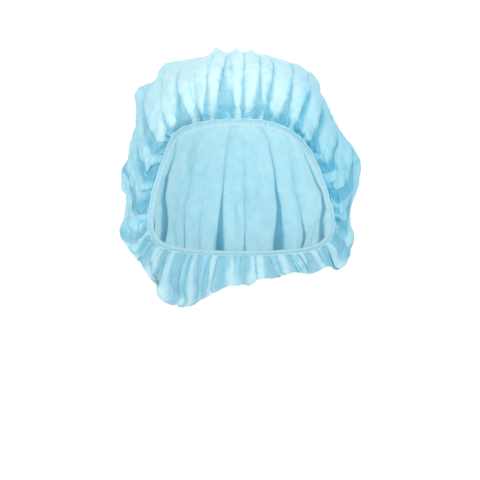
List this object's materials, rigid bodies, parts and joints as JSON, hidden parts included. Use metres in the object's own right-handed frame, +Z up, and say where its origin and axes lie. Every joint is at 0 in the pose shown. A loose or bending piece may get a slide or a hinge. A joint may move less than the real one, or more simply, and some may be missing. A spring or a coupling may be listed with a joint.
{
  "type": "disposable bouffant cap",
  "caption": "Disposable bouffant cap of thin nonwoven cloth gathered onto an elastic hem, kept in the puffed form that it has when worn.",
  "frame": {"origin": "the point inside the crown where the top of a head touches it", "axes": "+X to the wearer's left, +Y to the back of the head, +Z up; the face opening is towards -Y"},
  "size_m": [0.2178, 0.2178, 0.2271],
  "materials": {
    "nonwoven": "matte, thin and translucent spunbond",
    "hem": "matte, overlock stitched over elastic"
  },
  "bodies": {
    "root": {"crown": "nonwoven", "elastic_hem": "hem"}
  },
  "joints": []
}
